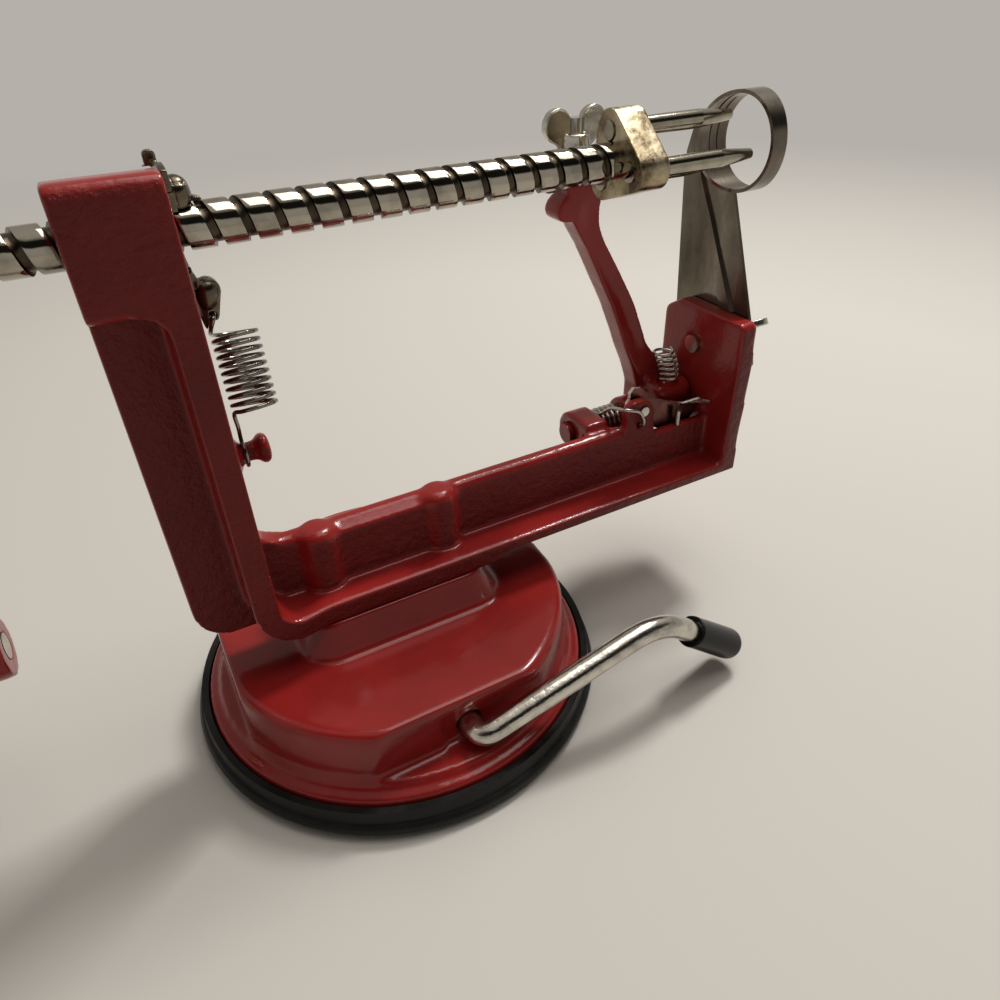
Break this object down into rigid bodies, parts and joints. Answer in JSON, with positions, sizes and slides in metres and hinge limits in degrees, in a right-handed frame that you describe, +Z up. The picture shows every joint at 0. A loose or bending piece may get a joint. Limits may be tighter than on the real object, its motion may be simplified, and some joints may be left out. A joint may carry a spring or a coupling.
{
  "type": "apple peeler",
  "caption": "Hand-cranked apple peeler, corer and slicer on a round suction base, with a grooved feed shaft, fork, pivoting peeling arm and ring blade.",
  "frame": {"origin": "middle of the suction base on the table", "axes": "+X along the shaft from the crank to the blade, +Y to the back, +Z up"},
  "size_m": [0.2738, 0.1148, 0.1473],
  "materials": {
    "painted_casting": "gloss",
    "painted_base": "gloss",
    "rubber": "satin",
    "black_plastic": "gloss",
    "plated": "polished",
    "yellow_plated": "satin",
    "steel": "satin"
  },
  "bodies": {
    "frame": {"main_frame": "painted_casting", "base_housing": "painted_base", "suction_ring": "rubber", "frame_screws": "steel", "latch_screw": "plated", "latch_spring": "steel", "corer_blade": "steel", "blade_bolt": "plated", "arm_pivot_rod": "steel", "arm_spring": "steel", "trigger_rivet": "steel", "stop_pin": "plated"},
    "feed": {"stop_washer": "plated"},
    "drive": {"drive_shaft": "plated", "fork_hub": "yellow_plated", "fork_prongs": "plated", "crank_arm": "painted_casting", "crank_nut": "plated", "knob_spindle": "plated"},
    "knob": {"crank_knob": "black_plastic"},
    "latch": {"feed_latch": "steel"},
    "arm": {"peeler_arm": "painted_casting", "peeler_blade": "steel", "blade_stud": "steel", "bumper_spring": "steel"},
    "arm_nut": {"arm_wing_nut": "plated"},
    "blade_nut": {"blade_wing_nut": "plated"},
    "trigger": {"arm_trigger": "steel"},
    "lever": {"lever_rod": "plated", "lever_tip": "black_plastic"},
    "cup": {"plunger": "steel", "cup_diaphragm": "rubber"}
  },
  "joints": [
    {"name": "feed_slide", "type": "slide", "parent": "frame", "child": "feed", "axis": [1, 0, 0], "range_m": [-0.085, 0.022]},
    {"name": "crank_spin", "type": "hinge", "parent": "feed", "child": "drive", "pos_m": [-0.09, 0, 0.1325], "axis": [1, 0, 0], "range_deg": [-4800, 1240]},
    {"name": "knob_spin", "type": "hinge", "parent": "drive", "child": "knob", "pos_m": [-0.12, 0, 0.0525], "axis": [1, 0, 0], "continuous": true},
    {"name": "latch_lift", "type": "hinge", "parent": "frame", "child": "latch", "pos_m": [-0.03, 0.012, 0.131], "axis": [-1, 0, 0], "range_deg": [0, 12], "stiffness_Nm_per_rad": 0.3, "springref_deg": -28.65, "deforming": ["latch_spring"]},
    {"name": "arm_swing", "type": "hinge", "parent": "frame", "child": "arm", "pos_m": [0.096, 0.011, 0.0546], "axis": [-1, 0, 0], "range_deg": [0, 40], "stiffness_Nm_per_rad": 0.6, "springref_deg": -28.65, "deforming": ["arm_spring"]},
    {"name": "arm_nut_turn", "type": "hinge", "parent": "arm", "child": "arm_nut", "pos_m": [0.069, 0.01675, 0.1346], "axis": [0, 0, 1], "range_deg": [-20, 14]},
    {"name": "blade_nut_turn", "type": "hinge", "parent": "frame", "child": "blade_nut", "pos_m": [0.118, 0.0067, 0.0754], "axis": [1, 0, 0], "continuous": true},
    {"name": "trigger_lift", "type": "hinge", "parent": "frame", "child": "trigger", "pos_m": [0.083, 0.0012, 0.0632], "axis": [0, -1, 0], "range_deg": [0, 10]},
    {"name": "base_lever", "type": "hinge", "parent": "frame", "child": "lever", "pos_m": [0.003, -0.03, 0.016], "axis": [0, -1, 0], "range_deg": [0, 90]},
    {"name": "cup_lift", "type": "slide", "parent": "frame", "child": "cup", "axis": [0, 0, 1], "range_m": [0, 0.0037]}
  ],
  "couplings": [
    {"joint": "feed_slide", "follows": "crank_spin", "m_per_rad": 0.0010106},
    {"joint": "cup_lift", "follows": "base_lever", "m_per_rad": 0.0023408}
  ]
}
